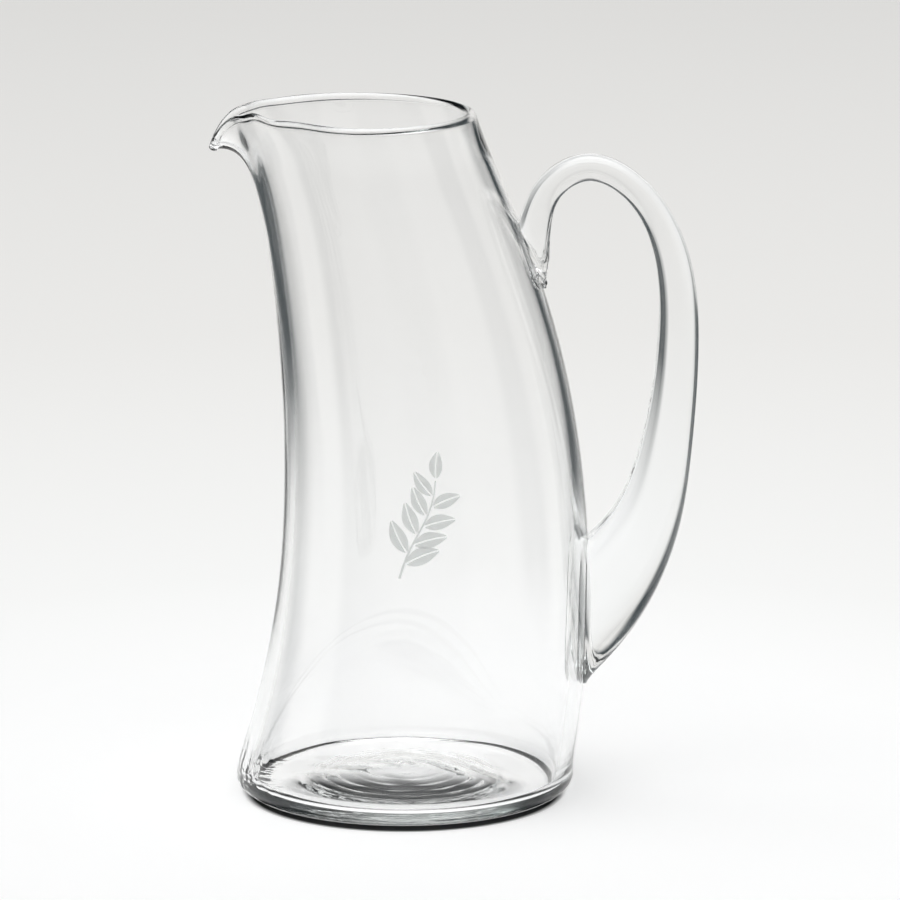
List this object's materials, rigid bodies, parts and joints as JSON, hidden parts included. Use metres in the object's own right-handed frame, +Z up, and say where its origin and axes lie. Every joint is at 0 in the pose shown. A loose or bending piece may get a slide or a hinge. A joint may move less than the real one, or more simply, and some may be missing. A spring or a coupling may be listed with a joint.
{
  "type": "pitcher",
  "caption": "Hand-blown clear glass pitcher with a tapered body that bends towards its pulled spout and a drawn, arched loop handle.",
  "frame": {"origin": "on the table, under the middle of the whole pitcher's box, spout and handle included", "axes": "+Z up from the table, -X towards the spout, +X towards the handle, Y across the mirror plane"},
  "size_m": [0.1888, 0.132, 0.2685],
  "materials": {
    "clear_glass": "blown and fire-polished, near colourless"
  },
  "bodies": {
    "root": {"body": "clear_glass", "handle": "clear_glass"}
  },
  "joints": []
}
